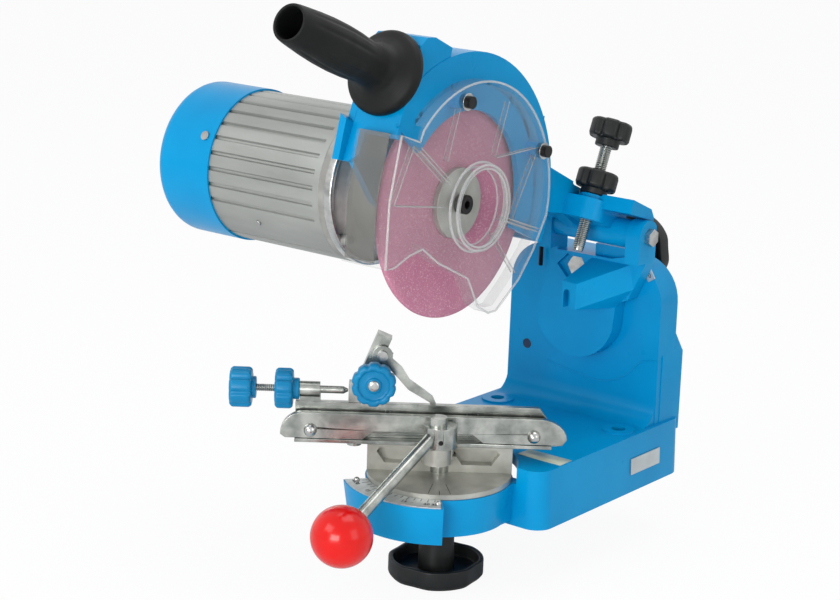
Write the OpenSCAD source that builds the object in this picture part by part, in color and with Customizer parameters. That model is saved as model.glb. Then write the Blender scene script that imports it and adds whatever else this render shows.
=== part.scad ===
// Bench grinder for saw chains: a fixed base with a swivelling vise,
// and a motor head that hinges down over the vise and tilts on the column.

/* [Base] */
// Width of the base casting at the bench
base_w = 131; // [124:1:150]
// Length of the base casting behind its front edge
base_len = 166; // [158:1:180]
// Height of the base casting's top face
base_h = 38.7; // [36:0.1:42]
// Wall thickness of the castings
cast_wall = 6; // [5:0.5:8]
// Distance between the two bench bolts
bolt_gap = 100; // [88:1:104]
// Diameter of the bench bolt holes
bolt_hole_d = 9.5; // [6:0.5:11]
// Width of the column at its foot
column_w = 123; // [116:1:124]
// Height of the column's top edge
column_top = 149; // [145:0.5:149]
// Depth of the column from front to back
column_t = 30; // [26:1:34]

/* [Turntable] */
// Distance of the turntable's axis in front of the bench bolts
table_reach = 130; // [126:1:134]
// Radius of the turntable
table_r = 46; // [44:0.5:46.5]
// Angle of the vise about the turntable's axis
table_turn = 38; // [0:1:38]
// Height of the seat that carries the turntable
seat_z = 28; // [26:0.5:29]
// Outer radius of the scale sector in front of the seat
sector_r = 61.5; // [59:0.5:64]
// Radius of the turntable's clamp bolt
pivot_r = 6; // [5:0.5:7]
// Radius of the large clamp knobs
big_knob_r = 30.6; // [26:0.2:32]

/* [Vise] */
// Thickness of each vise jaw
jaw_t = 4.9; // [4:0.1:5.5]
// Gap between the open jaws
jaw_gap = 2.6; // [2.2:0.1:3]
// Height of the front jaw's top edge
jaw_top = 69; // [68:0.5:70]
// How far the rear jaw stands above the front jaw
rear_rise = 5; // [4:0.5:6]
// Radius of the cam hub
cam_r = 10.2; // [9:0.1:10.5]
// Offset of the cam hub from its stud
cam_offset = 2; // [1:0.1:2.2]
// Radius of the cam stud
stud_r = 5.8; // [5:0.1:6]
// Length of the cam lever from its stud to its ball
lever_len = 101; // [90:1:115]
// Slope of the cam lever below level
lever_slope = 26; // [24:1:28]
// Radius of the lever's ball
ball_r = 19; // [15:0.5:21]
// Radius of the feed screw
feed_r = 2.4; // [2:0.1:3]
// Radius of the small hand knobs
small_knob_r = 12.8; // [11:0.2:13.5]

/* [Head] */
// Angle of the lifted head above its working position
head_lift = 23; // [12:1:23]
// Radius of the hinge pin
hinge_r = 4; // [3.5:0.1:5]
// Radius of the grinding wheel
wheel_r = 72.5; // [60:0.5:72.5]
// Thickness of the grinding wheel
wheel_t = 4.5; // [3:0.1:5]
// Radius of the wheel's bore
bore_r = 11.1; // [10:0.1:12]
// Outer radius of the wheel housing
housing_r = 93.5; // [91:0.5:95]
// Outer radius of the clear guard's face
guard_r = 77; // [76:0.5:79]
// Wall thickness of the clear guard
guard_t = 3; // [2:0.5:4]
// Radius of the depth screw
depth_r = 4; // [3:0.1:4.5]

/* [Motor] */
// Outer radius of the motor's ribbed housing
motor_r = 49; // [47:0.5:50]
// Length of the ribbed housing
motor_len = 103; // [98:1:110]
// Length of the end cap
cap_len = 48; // [45:1:54]
// Number of ribs round the housing
rib_count = 22; // [16:1:26]
// Radius of the motor shaft
shaft_r = 7.5; // [6:0.5:8]

/* [Hidden] */
$fn = 64;
slip = 0.05;             // radial clearance of a turning or sliding fit
gap = 0.3;               // clearance between faces that pass each other
eps = 0.01;

table_y = -table_reach;
base_front = table_y + 20.5;
base_back = base_front + base_len;
column_back = base_back;
column_front = column_back - column_t;
shoulder_r = 29;
pad_bottom = 3;
seat_r = table_r + 1;
recess_r = table_r + 4;
bolt_boss_r = 11;

block_top = seat_z + 21.3;
flange_t = 2.5;
jaw_foot = block_top + flange_t;
front_y1 = -jaw_gap / 2 - 0.3;
front_y0 = front_y1 - jaw_t;
rear_y0 = front_y1 + jaw_gap;
rear_y1 = rear_y0 + jaw_t;
rear_top = jaw_top + rear_rise;
stud_x = -2;
stud_y = front_y0 - gap - cam_r;
hub_z0 = jaw_foot + 1.5;
hub_h = 13.5;
jaw_left = -101;
jaw_right = 79.5;
pin_x = [-82, 58.6];
pin_z = jaw_top - 11.3;
pin_r = 2.5;
feed_y = (rear_y0 + rear_y1) / 2;
feed_z = rear_top + 7.5;
feed_boss = [-89.4, -76.8];
feed_tip = -59;
stop_x = feed_tip + gap;
nut_y = rear_y1 + 3.3;
stop_knob_x = -42.7;
stop_knob_z = 90;
stop_knob_r = 14;
pawl_x = -38;
pawl_z = 106;

tilt_z = 140;
tilt_r = 5;
head_face = column_front - gap;
plate_t = 11.5;
bracket_y = head_face - plate_t;
wedge_y = bracket_y - 27;
plate_top = 150;
hinge_y = 147 + table_y;
hinge_z = 168.5;
ear_r = 11;
ear_in = 43;
ear_out = 54;
ear_left = [-25, -16];
spring_x = ear_left[0] - 14.3;
lug = [ear_left[1] + gap, ear_in - gap];
barrel_r = 9.5;

guard_screw = [[-13.8, 66], [68, 26]];
wheel_y = 2.5 + table_y;
wheel_z = 205;
back_x = -30;
back_t = 5;
rim_x = 9;
wall_r = 58;             // inner radius of the housing's front wall
depth_x = 17.4;
depth_y = -22;
depth_tip = -20.6;
beam_top = 14;
boss_r = 12;

bell_len = 36;
motor_x1 = back_x - bell_len;
motor_x0 = motor_x1 - motor_len;
cap_r = motor_r + 1.3;
cap_lap = 10;
cap_x0 = motor_x0 + cap_lap - cap_len;
stator_r = motor_r - 5;
bearing_r = 16;
bearing_w = 9;
nose_x = wheel_t / 2;

// ---- shapes used by several pieces ----

// Points of an arc about (cx, cy), from angle a0 to a1
function arc(cx, cy, r, a0, a1, n = 10) =
    [for (i = [0:n]) let (a = a0 + (a1 - a0) * i / n) [cx + r * cos(a), cy + r * sin(a)]];

// Cylinder along X from x0 to x1
module rod_x(r, x0, x1, r2 = undef, fn = 64) {
    translate([x0, 0, 0]) rotate([0, 90, 0])
        cylinder(r1 = r, r2 = is_undef(r2) ? r : r2, h = x1 - x0, $fn = fn);
}

// Cylinder along Y from y0 to y1
module rod_y(r, y0, y1, fn = 64) {
    translate([0, y0, 0]) rotate([-90, 0, 0]) cylinder(r = r, h = y1 - y0, $fn = fn);
}

// Outline drawn in the YZ plane, extruded from x0 to x1
module slab_x(points, x0, x1) {
    translate([x0, 0, 0]) rotate([90, 0, 90]) linear_extrude(x1 - x0) polygon(points);
}

// Outline drawn in the XZ plane, extruded from y0 to y1
module slab_y(points, y0, y1) {
    translate([0, y1, 0]) rotate([90, 0, 0]) linear_extrude(y1 - y0) polygon(points);
}

module box(low, high) {
    translate(low) cube(high - low);
}

// Hand knob along Z: a scalloped head and a collar below it
module hand_knob(r, h, collar_r, collar_h, bore, lobes = 8) {
    difference() {
        union() {
            translate([0, 0, collar_h]) cylinder(r = r, h = h);
            cylinder(r = collar_r, h = collar_h + eps);
        }
        for (i = [0:lobes - 1])
            rotate(360 * (i + 0.5) / lobes)
                translate([r * 1.12, 0, collar_h - 1]) cylinder(r = r * 0.22, h = h + 2, $fn = 24);
        translate([0, 0, -1]) cylinder(r = bore, h = h + collar_h + 2);
    }
}

// Large cup knob along Z: its open skirt faces up, its hub stands inside
module cup_knob(r, skirt, hub_h, bore, lobes = 4) {
    difference() {
        cylinder(r = r, h = skirt);
        translate([0, 0, 4]) cylinder(r = r - 3.5, h = skirt);
        for (i = [0:lobes - 1])
            rotate(360 * i / lobes + 8) translate([r + 2.2, 0, -1]) cylinder(r = 4, h = skirt + 2, $fn = 24);
        translate([0, 0, -1]) cylinder(r = bore, h = skirt + 2);
    }
    difference() {
        cylinder(r = 11, h = hub_h);
        translate([0, 0, -1]) cylinder(r = bore, h = hub_h + 2);
    }
}

module at_table() translate([0, table_y, 0]) children();
module vise() at_table() rotate(table_turn) children();
module at_stud() vise() translate([stud_x, stud_y, 0]) children();
module at_feed() vise() translate([0, feed_y, feed_z]) children();
module at_tilt() translate([0, 0, tilt_z]) children();
module at_hinge() translate([0, hinge_y, hinge_z]) children();
module lifted() at_hinge() rotate([-head_lift, 0, 0]) children();
module at_depth() lifted() translate([depth_x, depth_y, 0]) children();
module at_wheel() translate([0, wheel_y, wheel_z]) children();
// Along the side handle, from its flange outwards
module at_handle() at_wheel() translate([-10, -57, 84.5]) rotate([90 - head_lift, 0, 0]) children();

// ---- base ----

module base_shell() {
    hull()
        for (sx = [-1, 1], z = [0, base_h - 2])
            for (y = [base_front + 12, base_back - 10])
                translate([sx * (base_w / 2 - 12 - z * 0.035), y, z])
                    cylinder(r = y < 0 && z > 0 ? 12 : 11.9, h = 2, $fn = 32);
}

module base_cavity() {
    hull()
        for (sx = [-1, 1], z = [-1, base_h - 9])
            for (y = [base_front + 15, base_back - 14])
                translate([sx * (base_w / 2 - 9 - cast_wall - max(z, 0) * 0.035), y, z])
                    cylinder(r = 8, h = 2, $fn = 32);
}

module column_outline(inset) {
    half = column_w / 2 - inset;
    top = column_top - inset;
    r = shoulder_r - inset;
    polygon(concat([[-half, 30], [half, 30]],
        arc(half - r - 0.5, top - r, r, 0, 90), arc(-half + r + 0.5, top - r, r, 90, 180)));
}

module column() {
    back = 10;
    difference() {
        union() {
            translate([0, column_back - back, 0]) rotate([90, 0, 0])
                linear_extrude(column_t - back) column_outline(0);
            hull()
                for (p = [[column_back, 7.5], [column_back - back + 1, 0]])
                    translate([0, p[0], 0]) rotate([90, 0, 0]) linear_extrude(1) column_outline(p[1]);
            slab_y([[-62, 30], [62, 30], [62, 85], [54, 99], [-54, 99], [-62, 85]], column_front + 5, column_back);
        }
        translate([0, column_back + 1, 0]) rotate([90, 0, 0])
            linear_extrude(column_t - 8 + 1) difference() {
                column_outline(cast_wall + 7);
                translate([-column_w, 0]) square([2 * column_w, base_h + 4]);
                translate([0, tilt_z]) circle(r = 16);
            }
    }
}

// Concave fillet between the column and the base's top face
module column_fillet() {
    r = 15;
    points = concat([[column_front + 1, base_h - 2], [column_front - r, base_h - 2]],
        [for (p = arc(column_front - r, base_h + r, r, -90, 0)) p], [[column_front + 1, base_h + r]]);
    slab_x(points, -column_w / 2 + 0.6, column_w / 2 - 0.6);
}

module pad() {
    at_table() {
        translate([0, 0, pad_bottom]) cylinder(r1 = seat_r - 3, r2 = seat_r, h = seat_z - pad_bottom);
        intersection() {
            translate([0, 0, pad_bottom])
                cylinder(r1 = sector_r - 3.5, r2 = sector_r, h = seat_z - 0.5 - pad_bottom);
            linear_extrude(seat_z)
                polygon([[0, 0], [-80 * sin(40.5), -80 * cos(40.5)], [0, -110], [80 * sin(40.5), -80 * cos(40.5)]]);
        }
        box([-43, 0, pad_bottom], [43, 30, seat_z]);
    }
}

module base_casting() {
    color("dodgerblue") difference() {
        union() {
            difference() {
                base_shell();
                base_cavity();
            }
            pad();
            column();
            column_fillet();
            for (sx = [-1, 1]) translate([sx * bolt_gap / 2, 0, 0]) cylinder(r = bolt_boss_r, h = base_h + 1.3);
        }
        for (sx = [-1, 1])
            translate([sx * bolt_gap / 2, 0, -1]) cylinder(r = bolt_hole_d / 2, h = base_h + 5);
        at_table() {
            translate([0, 0, seat_z - gap]) cylinder(r = recess_r, h = base_h);
            translate([0, 0, -1]) cylinder(r = pivot_r + slip, h = seat_z + 2);
            difference() {
                translate([0, 0, -1]) cylinder(r = seat_r - 9, h = seat_z - 9);
                translate([0, 0, -2]) cylinder(r = 16, h = seat_z);
            }
        }
        at_tilt() rod_y(tilt_r + slip, column_front - 1, column_back + 1);
        at_tilt_scale() box([-3.2, -1, -5.2], [3.2, 0.8, 5.2]);
        at_table() translate([0, 0, seat_z - 0.5]) scale_sector(5);
    }
}

module scale_sector(h) {
    intersection() {
        difference() {
            cylinder(r = sector_r - 0.6, h = h);
            translate([0, 0, -1]) cylinder(r = table_r + gap, h = h + 2);
        }
        linear_extrude(h)
            polygon([[0, 0], [-80 * sin(39), -80 * cos(39)], [0, -110], [80 * sin(39), -80 * cos(39)]]);
    }
}

module scale_plate() {
    color("silver") at_table() translate([0, 0, seat_z - 0.5]) scale_sector(0.8);
}

module scale_rivets() {
    color("gainsboro") at_table()
        for (a = [-36.5, 37.5])
            rotate(a) translate([0, -(table_r + sector_r) / 2, seat_z + 0.3])
                difference() {
                    sphere(r = 2, $fn = 24);
                    translate([-3, -3, -6]) cube(6);
                }
}

module at_tilt_scale() translate([49.5, column_front, 141.5]) rotate([0, -33, 0]) children();

module tilt_scale() {
    color("silver") at_tilt_scale() box([-3, 0, -5], [3, 0.8, 5]);
}

module name_plate() {
    color("lightsteelblue") translate([base_w / 2 - 0.45, 0, 20]) rotate([0, -2, 0])
        box([0, column_front - 33, -7.5], [0.8, column_front + 2, 3.5]);
}

module base_label() {
    color("khaki") box([30, -87, base_h], [63, -74, base_h + 0.3]);
}

// ---- turntable ----

module turntable_pocket(x0, x1) {
    mid = (x0 + x1) / 2;
    z0 = seat_z + 8;
    z1 = block_top - 3;
    translate([0, -6, 0]) slab_y([[x0 + 5, z0], [x1 - 5, z0], [x1, (z0 + z1) / 2 + 2], [x1 - 2, z1], [x0 + 2, z1],
        [x0, (z0 + z1) / 2 + 2]], 0, 12);
}

module turntable() {
    color("darkgray") vise() difference() {
        union() {
            translate([0, 0, seat_z]) cylinder(r = table_r, h = 3.2);
            intersection() {
                translate([0, 0, seat_z]) cylinder(r = table_r, h = block_top - seat_z);
                box([-60, -1.5, seat_z], [60, 60, block_top]);
            }
            hull() {
                translate([stud_x, stud_y, block_top - 7]) cylinder(r = 9, h = 7, $fn = 32);
                box([-11, -2, seat_z + 8], [7, 0, block_top]);
            }
            translate([stud_x, stud_y, block_top - 1]) cylinder(r = 9, h = hub_z0 - block_top + 1 - gap);
        }
        turntable_pocket(-40, -12);
        turntable_pocket(9, 38);
        translate([0, 0, seat_z - 1]) cylinder(r = pivot_r, h = 40);
        translate([0, 0, block_top - 8]) cylinder(r = 11, h = 20);
        translate([stud_x, stud_y, hub_z0 - 12]) cylinder(r = stud_r, h = 20);
        for (x = [-34, 34]) translate([x, rear_y1 + 8, block_top - 14]) cylinder(r = 2.5, h = 20);
    }
}

module table_bolt() {
    color("silver") at_table() {
        translate([0, 0, -38]) cylinder(r = pivot_r, h = block_top - 8 + 38);
        translate([0, 0, block_top - 8]) cylinder(r = 10, h = 7, $fn = 6);
    }
}

module table_knob() {
    color("#1a1a1a") at_table() translate([0, 0, -39.5])
        cup_knob(big_knob_r, 13, 39.5 + pad_bottom - gap, pivot_r + slip);
}

// ---- vise ----

// Front outline of a jaw: round upper left corner, sloped right end
function jaw_outline(top, foot) = concat(
    [[jaw_left + 3, foot], [jaw_left, foot + 2.2]],
    arc(jaw_left + 14, top - 14, 14, 180, 90, 8),
    [for (a = [90:-15:0]) [jaw_right - 17.5 + 17.5 * cos(a), top - 13 + 13 * sin(a)]],
    [[jaw_right - 3, foot]]);

module rear_jaw() {
    color("gainsboro") vise() difference() {
        union() {
            slab_y([[-92, block_top], [-92, rear_top], [62, rear_top], [74, block_top + 8], [74, block_top]],
                rear_y0, rear_y1);
            box([-92, front_y0, block_top], [70, rear_y1 + 14, jaw_foot]);
        }
        for (x = pin_x) translate([x, 0, pin_z]) rod_y(pin_r, rear_y0 - 1, rear_y1 + 1);
        for (x = [-34, 34]) translate([x, rear_y1 + 8, block_top - 1]) cylinder(r = 2.7, h = 10);
        translate([stud_x, stud_y, 0]) cylinder(r = 12, h = 100);
        box([stop_x - 5, nut_y - 2.1, block_top - 1], [stop_x + 13, nut_y + 2.1, jaw_foot + 1]);
    }
}

module jaw_screws() {
    color("silver") vise()
        for (x = [-34, 34])
            translate([x, rear_y1 + 8, 0]) {
                translate([0, 0, block_top - 10]) cylinder(r = 2.5, h = 10 + flange_t);
                translate([0, 0, jaw_foot]) cylinder(r = 4.6, h = 4, $fn = 6);
            }
}

// Shouldered pins that guide the front jaw; their domed heads stay in front of it
module jaw_pins() {
    color("white") vise()
        for (x = pin_x)
            translate([x, 0, pin_z]) {
                rod_y(pin_r, front_y0 - 1, rear_y1);
                translate([0, front_y0 - gap, 0]) difference() {
                    sphere(r = 4.2);
                    box([-6, 0, -6], [6, 12, 6]);
                }
            }
}

module front_jaw() {
    foot = jaw_foot + gap;
    color("gainsboro") vise() difference() {
        slab_y(jaw_outline(jaw_top, foot), front_y0, front_y1);
        slab_y([[-49, foot - 5], [-49, foot], [-42.5, foot + 5.5], [20, foot + 5.5], [27, foot], [27, foot - 5]],
            front_y0 - 1, front_y1 + 1);
        for (x = pin_x) translate([x, 0, pin_z]) rod_y(pin_r + slip, front_y0 - 1, front_y1 + 1);
    }
}

module cam_stud() {
    color("silver") at_stud() translate([0, 0, hub_z0 - 12]) cylinder(r = stud_r, h = hub_h + 12 + 5.5);
}

module cam_hub() {
    color("gainsboro") at_stud() difference() {
        translate([cam_offset, 0, hub_z0]) cylinder(r = cam_r, h = hub_h);
        translate([0, 0, hub_z0 - 1]) cylinder(r = stud_r + slip, h = hub_h + 2);
        cam_rod_space(4);
        translate([0, 0, hub_z0 + 5]) rotate(-90 - table_turn + 50) rotate([0, 90, 0]) cylinder(r = 1.5, h = 20);
    }
}

// Bore of the lever's rod, from the stud's clearance outwards
module cam_rod_space(r) {
    rotate(-90 - table_turn) translate([0, 0, hub_z0 + 9.5]) rotate([0, 90 + lever_slope, 0])
        translate([0, 0, stud_r + 1.2]) cylinder(r = r, h = 30);
}

module along_lever() {
    at_stud() rotate(-90 - table_turn) translate([0, 0, hub_z0 + 9.5]) rotate([0, 90 + lever_slope, 0])
        children();
}

module cam_rod() {
    color("silver") difference() {
        along_lever() translate([0, 0, stud_r + 1.2]) cylinder(r = 4, h = lever_len - stud_r - 9);
        at_stud() cylinder(r = stud_r + 0.8, h = 100);
    }
}

module cam_ball() {
    color("red") along_lever() translate([0, 0, lever_len]) difference() {
        sphere(r = ball_r);
        translate([0, 0, -ball_r - 2]) cylinder(r = 4, h = ball_r - 5.8);
    }
}

module cam_set_screw() {
    color("#222222") at_stud() translate([0, 0, hub_z0 + 5]) rotate(-90 - table_turn + 50)
        rotate([0, 90, 0]) translate([0, 0, stud_r + 0.6]) cylinder(r = 1.5, h = 3.4);
}

module feed_bracket() {
    color("silver") at_feed() difference() {
        union() {
            rod_x(5, feed_boss[0], feed_boss[1]);
            box([feed_boss[0], -jaw_t / 2, -7.5], [feed_boss[1] + 0.5, jaw_t / 2, 0]);
        }
        rod_x(feed_r + slip, feed_boss[0] - 2, feed_boss[1] + 2);
    }
}

module feed_screw() {
    color("silver") at_feed() {
        rod_x(feed_r, -131, feed_tip - 3);
        rod_x(feed_r, feed_tip - 3, feed_tip, 0.8);
    }
}

module feed_knob() {
    color("dodgerblue") at_feed() translate([-117, 0, 0]) rotate([0, -90, 0])
        hand_knob(small_knob_r, 13.9, 7, 2.6, feed_r + slip);
}

module feed_lock_knob() {
    color("dodgerblue") at_feed() translate([feed_boss[0] - gap, 0, 0]) rotate([0, -90, 0])
        hand_knob(small_knob_r, 11.3, 6.8, 4, feed_r + slip);
}

module stop_carriage() {
    lean = 21.5;
    color("gainsboro") vise() difference() {
        union() {
            box([stop_x, rear_y0 - 0.5, rear_top + gap], [stop_x + 16, rear_y1 + 6.3, rear_top + 12]);
            box([stop_x, rear_y1 + gap, jaw_foot + gap], [stop_x + 16, rear_y1 + 6.3, rear_top + 12]);
            translate([stop_x + 0.5, 0, rear_top + 3]) rotate([0, lean, 0]) {
                box([0, rear_y0 - 0.5, 1.2], [9.5, rear_y0 + 1.7, 46.5]);
                box([4, rear_y0 - 0.5, 2.9], [14, rear_y0 + 1.7, 38]);
                box([0, rear_y0 - 0.5, 6], [2.2, rear_y0 + 8, 46.5]);
                box([0, rear_y0 - 0.5, 44.3], [9.5, rear_y0 + 8, 46.5]);
            }
        }
        translate([stop_knob_x, 0, stop_knob_z]) rod_y(3, -5, 20);
        translate([pawl_x, 0, pawl_z]) rod_y(2, -5, 4);
        translate([stop_x + 4, nut_y, jaw_foot - 1]) cylinder(r = 1.8 + slip, h = 10);
    }
}

module stop_screw() {
    color("silver") vise() translate([stop_knob_x, 0, stop_knob_z]) rod_y(3, rear_y0 - 15, rear_y0 + 4);
}

module stop_knob() {
    color("dodgerblue") vise() translate([stop_knob_x, rear_y0 - 4.8, stop_knob_z]) rotate([90, 0, 0])
        hand_knob(stop_knob_r, 9, 8, 2, 3 + slip, 10);
}

// Curved blade that drops behind a cutter of the chain
module chain_pawl() {
    upper = [[-38, 112], [-32.3, 105], [-25.7, 99.3], [-20.6, 91.3], [-11.6, 85.1], [-5.8, 80.7], [-3.6, 76]];
    lower = [[-3.6, 73.5], [-6.4, 73.5], [-7.6, 76.6], [-11.4, 78.8], [-21.2, 84.4], [-28, 92], [-36, 100]];
    color("silver") vise() difference() {
        union() {
            slab_y(concat(upper, lower), rear_y0 - 2.6, rear_y0 - 0.9);
            translate([pawl_x, 0, pawl_z]) rod_y(6.5, rear_y0 - 2.6, rear_y0 - 0.9);
        }
        translate([pawl_x, 0, pawl_z]) rod_y(2 + slip, -9, 9);
    }
}

module pawl_pin() {
    color("white") vise() translate([pawl_x, 0, pawl_z]) {
        rod_y(2, rear_y0 - 3.2, rear_y0 + 1.7);
        rod_y(3.4, rear_y0 - 4.2, rear_y0 - 3);
    }
}

module stop_nut() {
    color("silver") vise() translate([stop_x + 4, nut_y, 0]) {
        translate([0, 0, block_top - 5.3]) cylinder(r = 4.6, h = 5);
        translate([0, 0, block_top - 5.3]) cylinder(r = 1.8, h = 15);
    }
}

// ---- tilting bracket on the column ----

module tilt_bracket() {
    color("dodgerblue") difference() {
        union() {
            slab_y(concat([[32, 112], [34, plate_top], [-21, plate_top - 1], [-28, 117]],
                arc(0, 109, 32, 195, 345, 16)), bracket_y, head_face);
            wedge();
            ear(ear_in, ear_out);
            ear(ear_left[0], ear_left[1]);
            box([ear_left[0], bracket_y, 140], [ear_left[1], head_face, 152]);
            // wall behind the hinge barrel
            box([11, head_face - 6, plate_top - 5], [ear_in + 1, head_face, 157]);
            // foot of the right ear
            slab_y([[28, 118], [42, 124], [ear_out, 150], [ear_out, 157], [28, 150]], bracket_y, head_face);
        }
        at_tilt() rod_y(tilt_r, wedge_y, column_back);
        at_tilt() rod_y(7.5, bracket_y - 1, bracket_y + 4, 6);
        at_tilt() translate([-7.4, 0, -0.7]) rotate([0, 45, 0]) box([-6, bracket_y - 1, -6], [6, bracket_y + 3.2, 6]);
        at_hinge() rod_x(hinge_r, -40, 70);
        // slot in the wedge's front face
        box([8.7, wedge_y - 1, 117], [13.9, wedge_y + 6, 128]);
        translate([11.3, 0, 128]) rod_y(2.6, wedge_y - 1, wedge_y + 6);
        // the ears stay in front of the column
        box([-60, head_face, 100], [60, head_face + 40, 200]);
        // room for the arm's barrel between the ears
        at_hinge() rod_x(barrel_r + 1, ear_left[1], ear_in);
    }
}

// Rest for the depth screw: narrow in front, wide at the plate
module wedge() {
    hull() {
        slab_y([[7.5, 118], [18.5, 118], [18.5, 135.5], [7.5, 136]], wedge_y, wedge_y + 1);
        slab_y([[8, 117], [32, 117], [46, 132], [42, 148], [12, 148]], bracket_y, bracket_y + 1);
    }
}

// One ear round the hinge pin, down to the bracket's plate
module ear(x0, x1) {
    at_hinge() rod_x(ear_r, x0, x1);
    box([x0, hinge_y - ear_r, 151], [x1, head_face, hinge_z]);
}

module tilt_bolt() {
    color("silver") at_tilt() {
        rod_y(tilt_r, bracket_y + 4, column_back + 38);
        rod_y(7.5, bracket_y + 0.5, bracket_y + 4, 6);
    }
}

module tilt_knob() {
    color("#1a1a1a") at_tilt() translate([0, column_back + 38.5, 0]) rotate([90, 0, 0])
        cup_knob(big_knob_r - 4.6, 13, 38.5 - gap, tilt_r + slip);
}

module hinge_pin() {
    color("silver") at_hinge() {
        rod_x(hinge_r, spring_x - 9, ear_out);
        rod_x(6, ear_out, ear_out + 4, fn = 6);
    }
}

module hinge_nut() {
    color("silver") at_hinge() difference() {
        rod_x(7, spring_x - 7, spring_x - 1, fn = 6);
        rod_x(hinge_r, spring_x - 10, spring_x + 1);
    }
}

// Coil that lifts the head, round the hinge pin, with a leg down the bracket
module return_spring() {
    r = hinge_r + 1.8;
    color("#222222") at_hinge() {
        for (i = [0:4])
            translate([spring_x + 1.5 + i * 2.75, 0, 0]) rotate([0, 90, 0])
                rotate_extrude($fn = 40) translate([r, 0]) circle(r = 1.5, $fn = 16);
        translate([ear_left[0] - 2, -r, -32]) cylinder(r = 1.5, h = 32, $fn = 16);
    }
}

// ---- arm and wheel housing ----

module arm_casting() {
    color("dodgerblue") difference() {
        union() {
            at_wheel() {
                // back plate behind the wheel
                slab_x(concat(arc(0, 0, housing_r, -24, 140, 40),
                    [[-79, 33], [-64, 30], [-44, 2], [-26, -10], [-10, -34], [20, -48], [60, -48]]),
                    back_x, back_x + back_t);
                // rim over the wheel and front face round the opening
                slab_x(concat(arc(0, 0, housing_r, -24, 140, 40), arc(0, 0, wall_r, 140, -24, 40)),
                    back_x + 1, rim_x);
                for (p = guard_screw) translate([0, p[0], p[1]]) rod_x(5, rim_x - 4, 20 - guard_t);
            }
            // raised seat of the handle
            at_handle() slab_x([[-25, -3.9], [20, -3.9], [26, -8], [28.5, -15], [28, -33], [-10, -40], [-25, -12]],
                -19.5, rim_x + 9.5);
            lifted() {
                beam();
                rod_x(barrel_r, lug[0], lug[1]);
                // crossbar over the right ear
                slab_x([[-25, 9], [-25, 18.5], [-1, 18.5], [5, 14], [5, ear_r + 1]], 8, ear_in + 8);
                box([8, -25, 9], [30, 5, 13]);
                // web towards the housing
                slab_x([[-88, 30], [-84, 52], [-79, 36], [-74, 29], [-66, 24], [-30, 22.5], [-8, 18], [0, 8],
                    [0, -6], [-34, 0], [-70, -8]], -5, 6);
            }
        }
        at_wheel() {
            rod_x(housing_r - 4, back_x + back_t, rim_x - 4);
            rod_x(20, back_x - 2, back_x + 8);
            for (p = guard_screw) translate([0, p[0], p[1]]) rod_x(2, rim_x - 5, 20);
            for (a = [45:90:315]) rotate([a, 0, 0]) translate([0, 27, 0]) rod_x(2.5, back_x - 1, back_x + 7);
        }
        at_handle() translate([0, 0, -13]) cylinder(r = 4, h = 20);
        at_handle() translate([0, 0, -3.9]) cylinder(r = 35, h = 30);
        at_hinge() rod_x(hinge_r + slip, lug[0] - 1, lug[1] + 1);
        at_depth() translate([0, 0, -1]) cylinder(r = depth_r + slip, h = 30);
        at_depth() translate([0, 0, beam_top + 3.2]) cylinder(r = 9.6, h = 20);
        at_depth() translate([0, 0, beam_top + 6.7]) cylinder(r = 14.8, h = 20);
    }
}

// Beam from the web to the hinge; its front corner is round about the depth screw
module beam() {
    translate([depth_x, depth_y, 0]) cylinder(r = boss_r, h = beam_top);
    box([lug[0], depth_y - boss_r, 0], [depth_x, -2, beam_top]);
    slab_x([[depth_y, 0], [depth_y, beam_top], [8, 10], [6, -1]], lug[0], depth_x + boss_r);
    translate([depth_x, depth_y, beam_top - 1]) cylinder(r = 8, h = 4.2);
}

// Outline of the clear guard about the wheel's centre
function guard_outline(r, d) = concat(arc(0, 0, r, 136, -15, 36),
    [[62 - d, -37], [47 - d, -54 + d], [24, -70 + d], [16, -70 + d], [5 + d, -64 + d], [-6.4, -44 + d],
     [-37, -29 + d], [-52.5, -18 + d], [-65, -20 + d], [-78.5, -25 + d], [-87 + d, -25 + d],
     [-85 + d, 15], [-75.5 + d, 53 - d], [-58, 47 - d]]);

module wheel_guard() {
    color("lightcyan", 0.4) at_wheel() difference() {
        union() {
            slab_x(guard_outline(guard_r, 0), rim_x, 20);
            slab_x([[-87, -25], [-85, 15], [-75.5, 53], [-60, 48], [-60, -22], [-78.5, -25]], -14, rim_x + 1);
            rod_x(27, 17, 25);
        }
        slab_x(guard_outline(guard_r - guard_t, guard_t), 5, 20 - guard_t);
        slab_x([[-84, -30], [-82, 15], [-72.5, 60], [-50, 60], [-50, -30]], -20, 20 - guard_t);
        rod_x(24, 5, 30);
        for (p = guard_screw) translate([0, p[0], p[1]]) {
            rod_x(2, 5, 25);
            rod_x(5 + gap, 5, 20 - guard_t);
        }
    }
}

module guard_screws() {
    color("#222222") at_wheel()
        for (p = guard_screw)
            translate([0, p[0], p[1]]) {
                rod_x(2, rim_x - 3, 20);
                rod_x(3.8, 20, 24);
            }
}

module side_handle() {
    color("#1a1a1a") at_handle() rotate_extrude() polygon(concat(
        [[4, -3.9], [26, -3.9], [26, 1.5], [23, 4], [14, 9], [13, 14]],
        [[13.6, 26], [14.6, 42], [14.6, 58], [13.5, 72], [12.2, 84], [11.4, 92], [9.2, 92], [9.2, 40], [4, 40]]));
}

module handle_stud() {
    color("silver") at_handle() translate([0, 0, -13]) cylinder(r = 4, h = 51);
}

// ---- motor ----

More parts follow.
